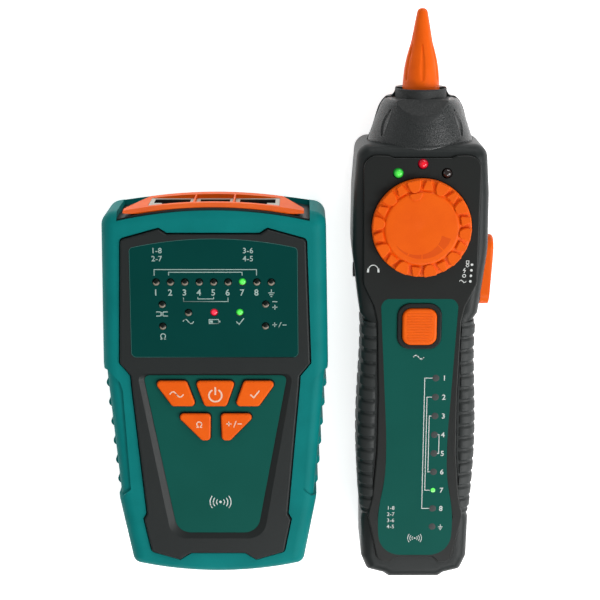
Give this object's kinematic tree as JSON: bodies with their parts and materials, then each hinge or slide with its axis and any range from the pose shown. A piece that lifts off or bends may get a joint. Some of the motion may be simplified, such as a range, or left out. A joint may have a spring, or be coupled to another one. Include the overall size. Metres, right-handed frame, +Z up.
{
  "type": "tone probe kit",
  "caption": "Cable tone transmitter with modular sockets in a rubber jacket, lying beside its hand-held probe receiver with a volume dial and pointed tip.",
  "frame": {"origin": "middle of the kit's bounding box at table height; both units lie on their backs", "axes": "+X from the transmitter to the receiver, +Y towards the sockets and the probe tip, +Z up out of the front faces"},
  "size_m": [0.1306, 0.1944, 0.0316],
  "materials": {
    "jacket_rubber": "satin moulded rubber",
    "grip_rubber": "matt ribbed rubber",
    "case_plastic": "finely textured",
    "label_film": "printed film, satin",
    "orange_plastic": "satin",
    "jack_plastic": "satin",
    "black_plastic": "satin",
    "contact_metal": "gold plated",
    "steel": "zinc plated",
    "board": "solder mask",
    "battery_metal": "wrapped steel can",
    "lamp_dark": "unlit tinted lens",
    "lamp_clear": "clear lens",
    "lamp_green": "lit lens",
    "lamp_red": "lit lens",
    "ferrite": "ceramic"
  },
  "bodies": {
    "transmitter": {"tx_battery": "battery_metal", "tx_battery_door": "case_plastic", "tx_battery_snap": "black_plastic", "tx_case_screws": "steel", "tx_circuit_board": "board", "tx_display_label": "label_film", "tx_door_screw": "steel", "tx_front_cover": "case_plastic", "tx_grip_jacket": "jacket_rubber", "tx_jack_contacts": "contact_metal", "tx_key_domes": "contact_metal", "tx_keypad_label": "label_film", "tx_lamp_red": "lamp_red", "tx_lamps_dark": "lamp_dark", "tx_lamps_green": "lamp_green", "tx_left_jack": "jack_plastic", "tx_middle_jack": "jack_plastic", "tx_rear_cover": "case_plastic", "tx_right_jack": "jack_plastic", "tx_socket_panel": "orange_plastic"},
    "receiver": {"rx_antenna_clip": "black_plastic", "rx_antenna_rod": "ferrite", "rx_battery": "battery_metal", "rx_battery_door": "case_plastic", "rx_battery_snap": "black_plastic", "rx_case_screws": "steel", "rx_circuit_board": "board", "rx_front_plate": "case_plastic", "rx_front_shell": "case_plastic", "rx_headphone_jack": "black_plastic", "rx_key_dome": "contact_metal", "rx_label": "label_film", "rx_lamp_dark": "lamp_dark", "rx_lamp_green": "lamp_green", "rx_lamp_red": "lamp_red", "rx_left_grip": "grip_rubber", "rx_map_lamp_lit": "lamp_green", "rx_map_lamps_dark": "lamp_dark", "rx_mode_switch": "black_plastic", "rx_potentiometer": "black_plastic", "rx_probe_tip": "orange_plastic", "rx_rear_shell": "case_plastic", "rx_right_grip": "grip_rubber", "rx_socket": "jack_plastic", "rx_socket_contacts": "contact_metal", "rx_speaker": "black_plastic", "rx_torch_lamp": "lamp_clear"},
    "tx_scan_key": {"tx_scan_button": "orange_plastic"},
    "tx_power_key": {"tx_power_button": "orange_plastic"},
    "tx_test_key": {"tx_test_button": "orange_plastic"},
    "tx_ohm_key": {"tx_ohm_button": "orange_plastic"},
    "tx_polarity_key": {"tx_polarity_button": "orange_plastic"},
    "rx_dial": {"rx_volume_dial": "orange_plastic", "rx_pot_shaft": "steel"},
    "rx_push": {"rx_scan_button": "orange_plastic"},
    "rx_slider": {"rx_mode_slider": "orange_plastic", "rx_switch_lever": "black_plastic"}
  },
  "joints": [
    {"name": "receiver_lift", "type": "slide", "parent": "transmitter", "child": "receiver", "axis": [0, 0, 1], "range_m": [0, 0.06]},
    {"name": "tx_scan_press", "type": "slide", "parent": "transmitter", "child": "tx_scan_key", "axis": [0, 0, -1], "range_m": [0, 0.0007], "stiffness_N_per_m": 1500},
    {"name": "tx_power_press", "type": "slide", "parent": "transmitter", "child": "tx_power_key", "axis": [0, 0, -1], "range_m": [0, 0.0007], "stiffness_N_per_m": 1500},
    {"name": "tx_test_press", "type": "slide", "parent": "transmitter", "child": "tx_test_key", "axis": [0, 0, -1], "range_m": [0, 0.0007], "stiffness_N_per_m": 1500},
    {"name": "tx_ohm_press", "type": "slide", "parent": "transmitter", "child": "tx_ohm_key", "axis": [0, 0, -1], "range_m": [0, 0.0007], "stiffness_N_per_m": 1500},
    {"name": "tx_polarity_press", "type": "slide", "parent": "transmitter", "child": "tx_polarity_key", "axis": [0, 0, -1], "range_m": [0, 0.0007], "stiffness_N_per_m": 1500},
    {"name": "rx_scan_press", "type": "slide", "parent": "receiver", "child": "rx_push", "axis": [0, 0, -1], "range_m": [0, 0.0007], "stiffness_N_per_m": 1500},
    {"name": "volume_turn", "type": "hinge", "parent": "receiver", "child": "rx_dial", "pos_m": [0.0405, 0.028, 0.03], "axis": [0, 0, -1], "range_deg": [-150, 150]},
    {"name": "mode_slide", "type": "slide", "parent": "receiver", "child": "rx_slider", "axis": [0, 1, 0], "range_m": [-0.00374, 0.00187]}
  ]
}
